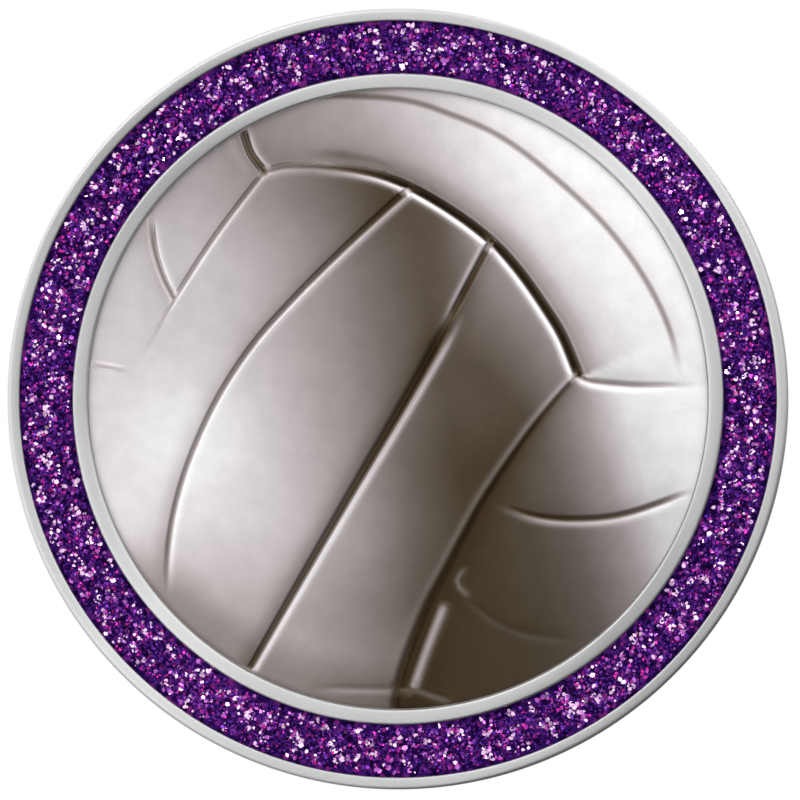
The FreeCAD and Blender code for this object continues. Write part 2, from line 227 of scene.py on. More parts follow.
def antiqued_silver_painted_light():
    """Relief metal coloured from the shine attribute: dark patina held in the seams, with the ball's
    painted light and shade, painted shade beside the seams and painted highlights along them.
    """
    material = new_material("antique_silver", Metallic=1.0)
    shader = shader_of(material)
    shine = add_node(material, "Attribute")
    shine.attribute_name = "shine"
    tones = ramp(material, shine.outputs["Fac"], [
        (0.0, (0.010, 0.006, 0.003)),
        (0.035, (0.060, 0.039, 0.021)),
        (0.06, (0.084, 0.064, 0.042)),
        (0.24, (0.272, 0.235, 0.226)),
        (0.48, (0.530, 0.475, 0.485)),
        (0.84, (0.855, 0.845, 0.850)),
        (1.0, (0.98, 0.98, 0.98)),
    ])
    mottle = between(material, noise(material, 1.4, detail=6.0), 0.86, 1.12)
    wire(material, tinted(material, tones, mottle), shader.inputs["Base Color"])
    grain = noise(material, 0.22, detail=3.0)
    wire(material, between(material, grain, 0.34, 0.46), shader.inputs["Roughness"])
    add_bump(material, grain, 0.006)
    return material


def glitter_resin():
    """Dark purple resin under the flakes."""
    material = new_material("glitter_resin", Roughness=0.42, Metallic=1.0)
    shader = shader_of(material)
    cells = add_node(material, "TexVoronoi", Scale=1.0)
    wire(material, object_place(material, 1 / (0.3 * MM)), cells.inputs["Vector"])
    split = add_node(material, "SeparateColor")
    wire(material, cells.outputs["Color"], split.inputs["Color"])
    tones = ramp(material, split.outputs["Red"], [
        (0.0, (0.006, 0.001, 0.022)),
        (0.5, (0.022, 0.004, 0.075)),
        (0.8, (0.060, 0.010, 0.150)),
        (1.0, (0.200, 0.018, 0.190)),
    ])
    wire(material, tones, shader.inputs["Base Color"])
    add_bump(material, split.outputs["Green"], 0.05)
    return material


def flake_foil(name, colour):
    """Metallised foil of one colour, cloudy where it was crushed. Each flake's tilt gives it its shade; the
    palest foil's colour is painted sparkle.
    """
    material = new_material(name, Metallic=1.0, Base_Color=(*colour, 1.0))
    crushed = noise(material, 0.12, detail=2.0)
    wire(material, between(material, crushed, 0.18, 0.38), shader_of(material).inputs["Roughness"])
    add_bump(material, crushed, 0.003)
    return material


def plated_brass():
    """Brass-plated stampings, a little duller in patches."""
    material = new_material("plated_brass", Metallic=1.0, Anisotropic=0.4)
    shader = shader_of(material)
    tones = ramp(material, noise(material, 1.6), dull_to_clean((0.80, 0.56, 0.24), 0.82, (0.3, 0.65)))
    wire(material, tones, shader.inputs["Base Color"])
    grain = noise(material, 0.1, detail=2.0)
    wire(material, between(material, grain, 0.22, 0.36), shader.inputs["Roughness"])
    radial_tangent(material)
    add_bump(material, grain, 0.004)
    return material


def plated_steel(name, colour, smoothest, roughest):
    """Nickel-plated steel or bare spring wire."""
    material = new_material(name, Metallic=1.0)
    shader = shader_of(material)
    tones = ramp(material, noise(material, 0.8), dull_to_clean(colour, 0.85, (0.3, 0.7)))
    wire(material, tones, shader.inputs["Base Color"])
    grain = noise(material, 0.08, detail=2.0)
    wire(material, between(material, grain, smoothest, roughest), shader.inputs["Roughness"])
    add_bump(material, grain, 0.003)
    return material


def adhesive():
    """Cloudy cured glue."""
    material = new_material("adhesive")
    shader = shader_of(material)
    tones = ramp(material, noise(material, 0.7), [(0.3, (0.6, 0.58, 0.5)), (0.7, (0.75, 0.74, 0.68))])
    wire(material, tones, shader.inputs["Base Color"])
    wire(material, between(material, noise(material, 0.3), 0.5, 0.8), shader.inputs["Roughness"])
    return material


# ---------------------------------------------------------------------------------------------------
# Mesh helpers
# ---------------------------------------------------------------------------------------------------

def mesh_piece(name, spots, faces, sharp_degrees=SHARP_DEGREES):
    """A mesh object from points in millimetres, smooth except at edges sharper than an angle."""
    mesh = bpy.data.meshes.new(name)
    mesh.from_pydata([Vector(spot) * MM for spot in spots], [], faces)
    mesh.update()
    mesh.shade_smooth()
    mesh.set_sharp_from_angle(angle=math.radians(sharp_degrees))
    piece = bpy.data.objects.new(name, mesh)
    bpy.context.scene.collection.objects.link(piece)
    return piece


def ring_points(radius, y, count):
    """Points round the Y axis, anticlockwise seen from the front."""
    angles = np.arange(count) * (2 * math.pi / count)
    return np.column_stack([radius * np.cos(angles), np.full(count, y), radius * np.sin(angles)])


def ring_faces(front, back, count):
    """Quads between two rings of points, given by the number of their first point."""
    steps = [(i, (i + 1) % count) for i in range(count)]
    return [(front + i, back + i, back + j, front + j) for i, j in steps]


def turned_ring(name, outline, count):
    """Closed ring turned about the Y axis from an outline of (radius, y) points."""
    spots = np.vstack([ring_points(radius, y, count) for radius, y in outline])
    faces = []
    for i in range(len(outline)):
        faces += ring_faces(i * count, (i + 1) % len(outline) * count, count)
    return mesh_piece(name, spots.tolist(), faces)


def turned_solid(name, outline, count):
    """Closed solid turned about the Y axis from an outline that starts and ends on the axis."""
    middle = outline[1:-1]
    spots = np.vstack([ring_points(radius, y, count) for radius, y in middle])
    poles = [(0.0, outline[0][1], 0.0), (0.0, outline[-1][1], 0.0)]
    faces = []
    for i in range(len(middle) - 1):
        faces += ring_faces(i * count, (i + 1) * count, count)
    front, back = len(spots), len(spots) + 1
    last = (len(middle) - 1) * count
    for i in range(count):
        following = (i + 1) % count
        faces.append((i, following, front))
        faces.append((last + following, last + i, back))
    return mesh_piece(name, spots.tolist() + poles, faces)


def crowned_edge(inner, outer, top, inner_rounding, outer_rounding):
    """Outline over the top of a rim from its inner to its outer wall: a slightly crowned face that runs
    smoothly into two rounded corners."""
    tilts = np.radians(np.linspace(CROWN_TILT, 90, CORNER_STEPS))
    start = inner + inner_rounding * (1 - math.sin(tilts[0]))
    end = outer - outer_rounding * (1 - math.sin(tilts[0]))
    crown = (end - start) * math.tan(tilts[0]) / 4
    falls = top + crown + np.outer((inner_rounding, outer_rounding), math.cos(tilts[0]) - np.cos(tilts))
    over_inner = list(zip(inner + inner_rounding * (1 - np.sin(tilts)), falls[0]))
    over_outer = list(zip(outer - outer_rounding * (1 - np.sin(tilts)), falls[1]))
    steps = np.linspace(0, 1, CROWN_STEPS)[1:-1]
    over_top = [(start + (end - start) * t, top + crown * (2 * t - 1) ** 2) for t in steps]
    return over_inner[::-1] + over_top + over_outer


def smooth_step(x):
    """0 below 0 and 1 above 1, with a smooth climb between."""
    x = np.clip(x, 0.0, 1.0)
    return x * x * (3 - 2 * x)


def bell(x):
    """1 at 0, falling smoothly to 0 at -1 and 1."""
    return np.clip(1 - x * x, 0.0, 1.0) ** 2


def smooth_maximum(a, b):
    """The larger of two heights, rounded where they meet so that seams run into each other."""
    blend = np.maximum(MEETING_SOFTNESS - np.abs(a - b), 0.0) / MEETING_SOFTNESS
    return np.maximum(a, b) + blend ** 2 * MEETING_SOFTNESS / 4


# ---------------------------------------------------------------------------------------------------
# Volleyball relief
# ---------------------------------------------------------------------------------------------------

# Seams of the ball as listed points (x, z) in millimetres on the emblem's face. The panel to the left of
# the way a seam runs falls away to it and holds a painted shade, and the one to the right has a painted
# highlight along its edge.
#   depth, width: the seam's channel, as shares of the plain one; widens: the width at the seam's far end
#   welt: height of the thread along the middle of the channel, as a share of the plain one
#   line: how dark the channel is, dark patina held in the groove together with painted shade
#   shade, reach: how dark the painted shade on the left side is and how far it spreads, for the plain width
#   glow: how bright the painted highlight along the right edge is; dulls: the glow at the far end
#   highlight_breadth: how broad the painted highlight is, against the plain one
#   fade: lengths over which the seam fades out at its two ends
BAND_EDGE = [(-8.7, 14.8), (-5.1, 15.15), (0.1, 14.15), (6.1, 10.3), (10.1, 5.2), (11.8, 1.6)]
BAND_LEFT_END = [(-8.7, 14.8), (-9.6, 16.0), (-10.2, 17.8)]
BAND_RIGHT_END = [(11.8, 1.6), (12.6, 1.2), (15.1, 0.9), (17.7, 0.85), (20.3, 0.9)]
THIRD_SEAM = [(11.8, 1.6), (10.2, -0.2), (8.4, -2.5), (5.9, -6.2), (4.4, -8.9), (3.1, -11.4),
              (2.1, -13.3), (1.3, -15.1), (0.6, -16.9), (0.1, -18.6), (-0.1, -20.1)]
SEAMS = [
    {"points": BAND_EDGE,
     "depth": 1.0, "width": 0.95, "widens": 1.35, "welt": 0.0, "line": 0.88, "shade": 0.54, "reach": 1.1,
     "glow": 0.95, "fade": (11.0, 0.0)},
    {"points": [(-7.2, 15.8), (-4.2, 15.9), (-1.2, 15.35), (1.6, 14.1)],
     "depth": 0.10, "width": 1.9, "welt": 0.0, "line": 0.30, "shade": 0.20, "reach": 0.3, "glow": 0.0,
     "fade": (4.0, 2.5)},
    {"points": [(-8.7, 14.8), (-7.2, 15.15), (-5.1, 15.15), (-2.5, 14.9)],
     "depth": 0.5, "width": 1.0, "welt": 1.0, "line": 0.22, "shade": 0.12, "reach": 0.8, "glow": 0.20,
     "fade": (0.0, 3.0)},
    {"points": BAND_LEFT_END,
     "depth": 0.9, "width": 1.0, "welt": 1.0, "line": 0.55, "shade": 0.30, "reach": 0.6, "glow": 0.30,
     "fade": (0.0, 0.0)},
    {"points": [(-5.1, 19.8), (0.1, 19.5), (3.5, 18.5), (6.8, 17.0), (10.1, 14.5), (13.4, 11.4),
                (15.9, 8.1), (17.6, 4.7), (18.5, 1.2)],
     "depth": 0.05, "width": 1.0, "welt": 0.0, "line": 0.40, "shade": 0.10, "reach": 0.6, "glow": 0.0,
     "fade": (0.5, 4.0)},
    {"points": BAND_RIGHT_END,
     "depth": 0.5, "width": 0.9, "welt": 0.5, "line": 0.42, "shade": 0.14, "reach": 0.5, "glow": 0.90,
     "fade": (0.0, 6.0)},
    {"points": [(-15.1, -13.2), (-14.9, -9.3), (-14.2, -5.9), (-13.0, -2.6), (-11.4, 0.6), (-9.3, 3.7),
                (-6.7, 6.6), (-3.8, 9.5), (-0.8, 12.3), (0.8, 13.7)],
     "depth": 0.6, "width": 0.6, "widens": 0.95, "welt": 0.6, "line": 0.42, "shade": 0.28, "reach": 0.8,
     "glow": 0.46, "fade": (4.0, 0.0)},
    {"points": [(-9.7, -17.7), (-6.2, -11.6), (-2.9, -5.9), (0.1, -0.8), (2.6, 3.65), (4.0, 6.35)],
     "depth": 0.7, "width": 0.75, "widens": 1.6, "welt": 1.0, "line": 0.62, "shade": 0.42, "reach": 0.55,
     "glow": 0.60, "fade": (0.3, 4.0)},
    {"points": [(6.1, 10.3), (4.3, 6.9), (2.6, 3.65)],
     "depth": 0.8, "width": 0.9, "welt": 0.8, "line": 0.60, "shade": 0.30, "reach": 0.5, "glow": 0.50,
     "fade": (0.0, 4.0)},
    {"points": THIRD_SEAM,
     "depth": 0.28, "width": 0.8, "widens": 2.0, "welt": 0.0, "line": 0.46, "shade": 0.34, "reach": 0.8,
     "glow": 0.34, "dulls": 0.0, "fade": (0.0, 0.0)},
    {"points": [(-17.2, 1.9), (-14.4, 6.7), (-11.8, 10.7), (-8.7, 14.8)],
     "depth": 0.5, "width": 0.75, "welt": 0.6, "line": 0.26, "shade": 0.12, "reach": 0.6, "glow": 0.20,
     "fade": (8.0, 0.0)},
    {"points": [(-14.6, 6.6), (-15.3, 8.0), (-15.9, 10.0), (-16.1, 12.5)],
     "depth": 0.6, "width": 0.9, "welt": 0.8, "line": 0.35, "shade": 0.22, "reach": 0.5, "glow": 0.28,
     "fade": (0.0, 2.0)},
    {"points": [(-20.0, 2.3), (-18.9, 2.1), (-17.2, 1.85)],
     "depth": 0.3, "width": 0.9, "welt": 0.5, "line": 0.12, "shade": 0.08, "reach": 0.5, "glow": 0.22,
     "fade": (0.5, 1.5)},
    {"points": [(6.0, -6.4), (8.7, -7.5), (11.8, -7.8), (15.1, -7.4), (19.6, -5.8)],
     "depth": 0.45, "width": 0.9, "welt": 0.4, "line": 0.55, "shade": 0.12, "reach": 0.35, "glow": 0.42,
     "fade": (4.0, 3.0)},
    {"points": [(4.8, -11.0), (4.15, -11.9), (5.0, -12.8)],
     "depth": 0.15, "width": 0.7, "welt": 0.0, "line": 0.10, "shade": 0.10, "reach": 0.3, "glow": 0.28,
     "fade": (0.8, 0.8)},
    {"points": [(4.4, -12.6), (6.2, -14.1), (8.5, -15.1), (13.0, -15.7)],
     "depth": 0.10, "width": 1.0, "welt": 0.4, "line": 0.12, "shade": 0.12, "reach": 0.5, "glow": 0.06,
     "fade": (1.5, 4.0)},
    {"points": [(0.5, -18.9), (1.1, -17.2), (1.8, -15.3), (2.75, -12.9)],
     "depth": 0.15, "width": 1.1, "welt": 0.0, "line": 0.36, "shade": 0.20, "reach": 0.3, "glow": 0.58,
     "highlight_breadth": 1.5, "fade": (0.4, 0.8)},
    {"points": [(-6.0, -18.6), (-0.6, -18.7), (1.0, -18.6), (2.6, -19.1), (4.2, -19.6)],
     "depth": 0.2, "width": 0.9, "welt": 0.3, "line": 0.14, "shade": 0.08, "reach": 0.4, "glow": 0.22,
     "fade": (3.0, 1.5)},
]
SEAM_STEP = 0.3
FINE_STEP = 0.06
ROW_OFFSETS = [0.07, 0.13, 0.19, 0.25, 0.31, 0.38, 0.46, 0.56, 0.7, 0.9, 1.2, 1.6]
CHANNEL_HALF_WIDTH = 0.34
CHANNEL_DEPTH = 0.26
WELT_HALF_WIDTH = 0.13
WELT_HEIGHT = 0.13
SHOULDER_DROP = 0.20
MEETING_SOFTNESS = 0.06
DISPLAY_GAMMA = 2.2
SOFT_REACH = 1.8
SHARP_REACH = 0.7
# Offset from the seam and width of the painted highlight along its right-hand edge.
PAINTED_HIGHLIGHT_OFFSET = 0.40
PAINTED_HIGHLIGHT_WIDTH = 0.21
PAST_END = 0.5
SPOTS_AT_ONCE = 4000

RELIEF_RADIUS = 20.14
RELIEF_EDGE_Y = -2.5
FLANGE_FRONT_Y = -2.3
FLANGE_SHINE = 0.4
OPEN_SPACING = 0.42
# The grid of open points is compared with the rows in this many parts, to save memory.
GRID_PARTS = 40
# Shares of a row's offset and of the open spacing that must stay clear of other seams and rows.
ROW_CLEARANCE = 0.9
OPEN_CLEARANCE = 0.6
RIM_CLEARANCE = 0.12
CLOSEST_POINTS = 0.045
RIM_POINTS = 720


def smooth_line(points, step):
    """Points about `step` apart along a smooth curve through the given points."""
    knots = np.array(points, float)
    padded = np.vstack([2 * knots[0] - knots[1], knots, 2 * knots[-1] - knots[-2]])
    runs = []
    for a, b, c, d in zip(padded, padded[1:], padded[2:], padded[3:]):
        count = max(2, round(np.linalg.norm(c - b) / step))
        t = np.linspace(0, 1, count, endpoint=False)[:, None]
        square = 2 * a - 5 * b + 4 * c - d
        cube = 3 * b - a - 3 * c + d
        runs.append((2 * b + (c - a) * t + square * t ** 2 + cube * t ** 3) / 2)
    runs.append(knots[-1:])
    return np.vstack(runs)


def right_of(line):
    """Unit vectors to the right of the way the line runs."""
    way = np.gradient(line, axis=0)
    way /= np.linalg.norm(way, axis=1)[:, None]
    return np.column_stack([way[:, 1], -way[:, 0]])


def across_seam(seam, spots):
    """Distance of each spot from a seam, positive to its right, the seam's strength there, and the share of
    the seam's length that lies before it."""
    line = smooth_line(seam["points"], FINE_STEP)
    right = right_of(line)
    travelled = np.concatenate([[0.0], np.cumsum(np.linalg.norm(np.diff(line, axis=0), axis=1))])
    distance = np.empty(len(spots))
    strength = np.empty(len(spots))
    share = np.empty(len(spots))
    for start in range(0, len(spots), SPOTS_AT_ONCE):
        chunk = slice(start, start + SPOTS_AT_ONCE)
        part = spots[chunk]
        gaps = np.linalg.norm(part[:, None] - line[None], axis=2)
        nearest = gaps.argmin(axis=1)
        away = part - line[nearest]
        side = np.einsum("ij,ij->i", away, right[nearest])
        past = np.sqrt(np.maximum(gaps.min(axis=1) ** 2 - side ** 2, 0.0))
        done = travelled[nearest]
        left = travelled[-1] - done
        fade_in, fade_out = (max(length, TINY) for length in seam["fade"])
        held = smooth_step((done + TINY) / fade_in) * smooth_step((left + TINY) / fade_out)
        distance[chunk] = side
        strength[chunk] = held * smooth_step(1 - past / PAST_END)
        share[chunk] = done / travelled[-1]
    return distance, strength, share


def row_points():
    """Rows of points along every seam, close together where its sides are steep."""
    lines = [smooth_line(seam["points"], SEAM_STEP) for seam in SEAMS]
    found = []
    for own, line in enumerate(lines):
        right = right_of(line)
        others = np.vstack([other for i, other in enumerate(lines) if i != own])
        for offset in [0.0] + ROW_OFFSETS + [-o for o in ROW_OFFSETS]:
            row = line + right * offset
            gaps = np.linalg.norm(row[:, None] - others[None], axis=2).min(axis=1)
            found.append(row[gaps > abs(offset) * ROW_CLEARANCE])
    return np.vstack(found)


def open_points(rows):
    """Points on a triangular grid over the disc, where no row of a seam is near."""
    steps = int(RELIEF_RADIUS / OPEN_SPACING) + 2
    i, j = np.meshgrid(np.arange(-steps, steps + 1), np.arange(-steps, steps + 1))
    x = (i + 0.5 * (j % 2)) * OPEN_SPACING
    z = j * OPEN_SPACING * math.sqrt(3) / 2
    grid = np.column_stack([x.ravel(), z.ravel()])
    clear = np.concatenate([
        np.linalg.norm(part[:, None] - rows[None], axis=2).min(axis=1) > OPEN_SPACING * OPEN_CLEARANCE
        for part in np.array_split(grid, GRID_PARTS)
    ])
    return grid[clear]


def thinned(points, spacing):
    """The points with only one kept in each small square."""
    squares = np.round(points / spacing).astype(int)
    kept = np.unique(squares, axis=0, return_index=True)[1]
    return points[np.sort(kept)]


# Brightness of each group of panels with the ball's light and shade painted in, as listed (place in
# millimetres, brightness) pairs.
LEFT_TONES = [(-18, 0.81), (-11, 0.79), (-8.5, 0.745), (-6, 0.67), (-3, 0.565), (0, 0.435), (3, 0.32),
              (7, 0.30)]
RIGHT_TONES = [(-5, 0.22), (3, 0.27), (6, 0.31), (8.6, 0.39), (12, 0.62), (14.5, 0.88), (18, 0.97)]
BAND_TONES = [(-9, 0.53), (-3, 0.59), (0, 0.68), (3, 0.80), (6, 0.88), (9, 0.91), (18, 0.92)]


def left_tone(x, z):
    """Painted light and shade of the panels to the left of the third seam, which darken towards it."""
    drift = x + 0.2 * z
    places, tones = zip(*LEFT_TONES)
    tone = np.interp(drift, places, tones)
    # Painted shade towards the bottom, and again along the lower rim.
    tone *= 1 - 0.20 * smooth_step((-z - 7) / 8)
    tone *= 1 - 0.22 * smooth_step((np.hypot(x, z) - 16.5) / 3) * smooth_step((-z - 8) / 5)
    # Painted shade under the band's left end.
    tone -= 0.10 * smooth_step((z - 8) / 7) * smooth_step((2 - x) / 4)
    # A painted highlight at the far left.
    tone += 0.12 * np.exp(-((x + 13.5) ** 2 + (z + 2.5) ** 2) / 18)
    # Painted shade beside the lower half of the third seam.
    tone -= 0.06 * smooth_step(-z / 5) * smooth_step((z + 18) / 6) * smooth_step((x + 3) / 5)
    return tone


def band_tone(x, z):
    """Painted light and shade of the panel across the top, whose left half lightens towards the rim."""
    places, tones = zip(*BAND_TONES)
    return np.interp(x, places, tones) + 0.014 * np.clip(z - 15, -3, 6) * smooth_step((4 - x) / 4)


def panel_tone(x, z):
    """Brightness of the panels before the seams, with the ball's light and shade painted in, from 0 for the
    darkest painted shade to 1 for bright silver.
    """
    band_runs = [smooth_line(run, SEAM_STEP) for run in (BAND_LEFT_END[::-1], BAND_EDGE, BAND_RIGHT_END)]
    edge_z = np.interp(x, *np.vstack(band_runs).T)
    above = (z > edge_z) & (x > BAND_LEFT_END[-1][0])
    third_x, third_z = smooth_line(THIRD_SEAM[::-1], SEAM_STEP).T
    right = (x > np.interp(z, third_z, third_x)) & ~above

    # Painted light on the panels just under the band's right half, fading with distance below it.
    under_band = 0.31 * np.clip(1 - (edge_z - z) / 9, 0, 1) * smooth_step((x - 2) / 4)
    places, tones = zip(*RIGHT_TONES)
    tone = np.where(right, np.interp(x + 0.3 * z, places, tones), left_tone(x, z) + under_band)
    return np.where(above, band_tone(x, z), tone)


def towards(seam, plain, far, share):
    """A setting of a seam that changes from its near end to its far end."""
    return seam[plain] + (seam.get(far, seam[plain]) - seam[plain]) * share


def relief_surface(spots):
    """Height (y) and shine of the relief at (x, z) spots; the shine holds the patina in the seams with
    painted light and shade.
    """
    crown = millimetres("volleyball_medallion")[0].y
    radius = np.linalg.norm(spots, axis=1)
    height = RELIEF_EDGE_Y + (crown - RELIEF_EDGE_Y) * (1 - (radius / RELIEF_RADIUS) ** 2)
    sunk = np.zeros(len(spots))
    shade = np.zeros(len(spots))
    glow = np.zeros(len(spots))
    for seam in SEAMS:
        s, strength, share = across_seam(seam, spots)
        width = towards(seam, "width", "widens", share)
        half_width = CHANNEL_HALF_WIDTH * width
        welt = seam["welt"] * WELT_HEIGHT * bell(s / WELT_HALF_WIDTH)
        channel = CHANNEL_DEPTH * bell(s / half_width) - welt
        shoulder_reach = np.where(s < 0, SOFT_REACH, SHARP_REACH)
        shoulder = SHOULDER_DROP * smooth_step(1 - np.abs(s) / shoulder_reach)
        sunk = smooth_maximum(sunk, strength * seam["depth"] * (channel + shoulder))
        # Dark patina held in the channel together with painted shade, and painted shade spreading over the
        # panel on the seam's left.
        line = seam["line"] * bell(s / half_width)
        spread = np.where(s < 0, np.exp(s / (seam["reach"] * width)), bell(s / half_width))
        shade = np.maximum(shade, strength * np.maximum(line, seam["shade"] * spread))
        # Painted highlight along the seam's right-hand edge.
        from_edge = (s - PAINTED_HIGHLIGHT_OFFSET * width) / (PAINTED_HIGHLIGHT_WIDTH * seam.get("highlight_breadth", 1.0))
        bright = towards(seam, "glow", "dulls", share)
        glow = np.maximum(glow, strength * bright * np.exp(-from_edge ** 2))
    tone = panel_tone(spots[:, 0], spots[:, 1])
    # Painted shade darkens and painted highlights lighten the panels' painted tone.
    tone = tone * (1 - shade) + (1 - tone) * glow
    return height + sunk, tone ** DISPLAY_GAMMA


def relief_face():
    """Points (x, z) over the relief, its rim first, and the triangles between them."""
    rim = ring_points(RELIEF_RADIUS, 0.0, RIM_POINTS)[:, [0, 2]]
    rows = row_points()
    inner = np.vstack([rows, open_points(rows)])
    inner = thinned(inner[np.linalg.norm(inner, axis=1) < RELIEF_RADIUS - RIM_CLEARANCE], CLOSEST_POINTS)
    face = np.vstack([rim, inner])
    made = delaunay_2d_cdt([Vector(p) for p in face], [], [], 0, TINY)
    first_inputs = [group[0] for group in made[3]]
    return face, [tuple(first_inputs[corner] for corner in triangle) for triangle in made[2]]


def volleyball_relief():
    """The ball's panels as a domed relief on a flange, closed at the back."""
    high = millimetres("volleyball_medallion")[1]
    face, faces = relief_face()
    y, shine = relief_surface(face)
    steps = [(RELIEF_RADIUS, FLANGE_FRONT_Y), (high.x, FLANGE_FRONT_Y), (high.x, high.y)]
    loops = [ring_points(radius, step_y, RIM_POINTS) for radius, step_y in steps]
    firsts = [0] + [len(face) + i * RIM_POINTS for i in range(len(steps))]
    for front, back in zip(firsts, firsts[1:]):
        faces += ring_faces(front, back, RIM_POINTS)
    spots = np.vstack([np.column_stack([face[:, 0], y, face[:, 1]])] + loops + [[(0.0, high.y, 0.0)]])
    centre = len(spots) - 1
    last = firsts[-1]
    faces += [(last + i, centre, last + (i + 1) % RIM_POINTS) for i in range(RIM_POINTS)]
    piece = mesh_piece("volleyball_relief", spots.tolist(), faces, sharp_degrees=60.0)
    attribute = piece.data.attributes.new("shine", "FLOAT", "POINT")
    values = np.full(len(spots), FLANGE_SHINE)
    values[:len(face)] = shine
    attribute.data.foreach_set("value", values.astype(np.float32))
    piece.data.materials.append(antiqued_silver_painted_light())
    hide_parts("volleyball_medallion")
    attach(piece, "emblem")


# ---------------------------------------------------------------------------------------------------
# Tray and bezel ring, turned finely so that their edges are truly round
# ---------------------------------------------------------------------------------------------------

TURNED_STEPS = 720
RIM_WIDTH = 0.78
RIM_INNER_ROUNDING = 0.16
RIM_OUTER_ROUNDING = 0.3
RING_WIDTH = 0.99
RING_INNER_ROUNDING = 0.22
RING_OUTER_ROUNDING = 0.22
# Tilt in degrees of a rim's face where it meets its rounded corners.
CROWN_TILT = 7.0
CROWN_STEPS = 9
CORNER_STEPS = 12
FLOOR_Y = -1.2
SEAT_Y = -0.9
BACK_CHAMFER = 0.3
# Faces of the tray whose normal has more than this share along Y are its back.
BACK_FACING = 0.9
RING_WALL = 0.54
LIP_DEPTH = 0.75
FIT_GAP = 0.02
RECESS_GAP = 0.02
CUTTER_END_Y = 1.0
CUTTER_STEPS = 96


def bezel_ring(finish):
    """Inner ring with a lip over the relief's flange."""
    low, high = millimetres("bezel_ring")
    lip_radius = high.x - RING_WIDTH
    bore = high.x - RING_WALL
    under_lip = low.y + LIP_DEPTH
    outline = crowned_edge(lip_radius, high.x, low.y, RING_INNER_ROUNDING, RING_OUTER_ROUNDING)
    outline += [(high.x, high.y), (bore, high.y), (bore, under_lip), (lip_radius, under_lip)]
    ring = turned_ring("turned_bezel_ring", outline, TURNED_STEPS)
    ring.data.materials.append(finish)
    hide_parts("bezel_ring")
    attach(ring, "emblem")


def cut_recesses(tray):
    """Sink the seats of both posts' pads into the tray's back."""
    for side in ("left", "right"):
        low, high = millimetres(side + "_post")
        reach = (high.x - low.x) / 2 + RECESS_GAP
        outline = [(0, low.y), (reach, low.y), (reach, CUTTER_END_Y), (0, CUTTER_END_Y)]
        cutter = turned_solid("cutter", outline, CUTTER_STEPS)
        cutter.location = Vector(((low.x + high.x) / 2, 0, (low.z + high.z) / 2)) * MM
        cut = tray.modifiers.new("recess", "BOOLEAN")
        cut.operation = "DIFFERENCE"
        cut.object = cutter
        bpy.context.view_layer.update()
        depsgraph = bpy.context.evaluated_depsgraph_get()
        shape = bpy.data.meshes.new_from_object(tray.evaluated_get(depsgraph))
        tray.modifiers.clear()
        tray.data = shape
        bpy.data.objects.remove(cutter)
    tray.data.shade_smooth()
    tray.data.set_sharp_from_angle(angle=math.radians(SHARP_DEGREES))


def badge_tray(finish):
    """Tray with the outer rim, the recessed floor and the groove that the inner ring sits in."""
    low, high = millimetres("badge_tray")
    ring_out = millimetres("bezel_ring")[1].x + FIT_GAP
    ring_in = ring_out - RING_WALL - 2 * FIT_GAP
    inner = high.x - RIM_WIDTH
    outline = [(0, FLOOR_Y), (ring_in, FLOOR_Y), (ring_in, SEAT_Y), (ring_out, SEAT_Y), (ring_out, FLOOR_Y)]
    outline.append((inner, FLOOR_Y))
    outline += crowned_edge(inner, high.x, low.y, RIM_INNER_ROUNDING, RIM_OUTER_ROUNDING)
    outline += [(high.x, high.y - BACK_CHAMFER), (high.x - BACK_CHAMFER, high.y), (0, high.y)]
    tray = turned_solid("turned_tray", outline, TURNED_STEPS)
    tray.data.materials.append(finish)
    cut_recesses(tray)
    tray.data.materials.append(blasted_silver())
    for face in tray.data.polygons:
        if face.normal.y > BACK_FACING:
            face.material_index = 1
    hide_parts("badge_tray")
    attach(tray, "emblem")


# ---------------------------------------------------------------------------------------------------
# Glitter band
# ---------------------------------------------------------------------------------------------------

RESIN_DIP = 0.16
BED_STEPS = 360
FLAKES = 22000
FLAKE_SEED = 11
# How far flakes may lie behind (negative) and in front of the resin's highest edge.
FLAKE_DEPTHS = (-0.1, 0.12)
FLAKE_CORNERS = 5
FLAKE_RADIUS = (0.055, 0.145)
SPARKLE_SHARE = 0.15
SPARKLE_SCALE = 1.4
CORNER_REACH = (0.5, 1.15)
WALL_CLEARANCE = 0.01
FLAKE_THICKNESS = 0.05
FLAKE_TILT = math.radians(17)
STEEPEST_TILT = math.radians(42)
CLUMP_SIZE = (0.6, 2.2)
CLUMP_STRENGTH = 0.12
CLUMP_WAVES = 24
# Foils from dark to light: name, colour and share of the flakes. Their spread of brightness is partly foils
# of different colours and partly painted light and shade; the palest foil is painted sparkle.
FOILS = [
    ("foil_night", (0.012, 0.003, 0.045), 0.15),
    ("foil_navy", (0.036, 0.009, 0.140), 0.22),
    ("foil_violet", (0.085, 0.018, 0.220), 0.25),
    ("foil_purple", (0.165, 0.030, 0.310), 0.15),
    ("foil_magenta", (0.540, 0.030, 0.340), 0.09),
    ("foil_orchid", (0.480, 0.130, 0.560), 0.06),
    ("foil_pink_sparkle", (0.970, 0.640, 0.950), 0.08),
]


def resin_bed():
    """Poured resin between the rims, a little lower in the middle than where it wets the walls."""
    low, high = millimetres("glitter_band")
    outer = high.x
    inner = millimetres("bezel_ring")[1].x + FIT_GAP
    across = [i / 10 for i in range(11)]
    top = [(inner + (outer - inner) * t, low.y + RESIN_DIP * bell(2 * t - 1)) for t in across]
    bed = turned_ring("glitter_bed", top + [(outer, high.y), (inner, high.y)], BED_STEPS)
    bed.data.materials.append(glitter_resin())
    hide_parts("glitter_band")
    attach(bed, "emblem")
    return inner, outer, low.y


def clumps(spots, random):
    """Smooth random field over the band, about -1 to 1, which gathers dark and light flakes."""
    field = np.zeros(len(spots))
    for _ in range(CLUMP_WAVES):
        bearing = random.uniform(0, 2 * math.pi)
        pitch = 2 * math.pi / random.uniform(*CLUMP_SIZE)
        phase = random.uniform(0, 2 * math.pi)
        field += np.cos(pitch * (spots[:, 0] * math.cos(bearing) + spots[:, 2] * math.sin(bearing)) + phase)
    return field / math.sqrt(CLUMP_WAVES / 2)


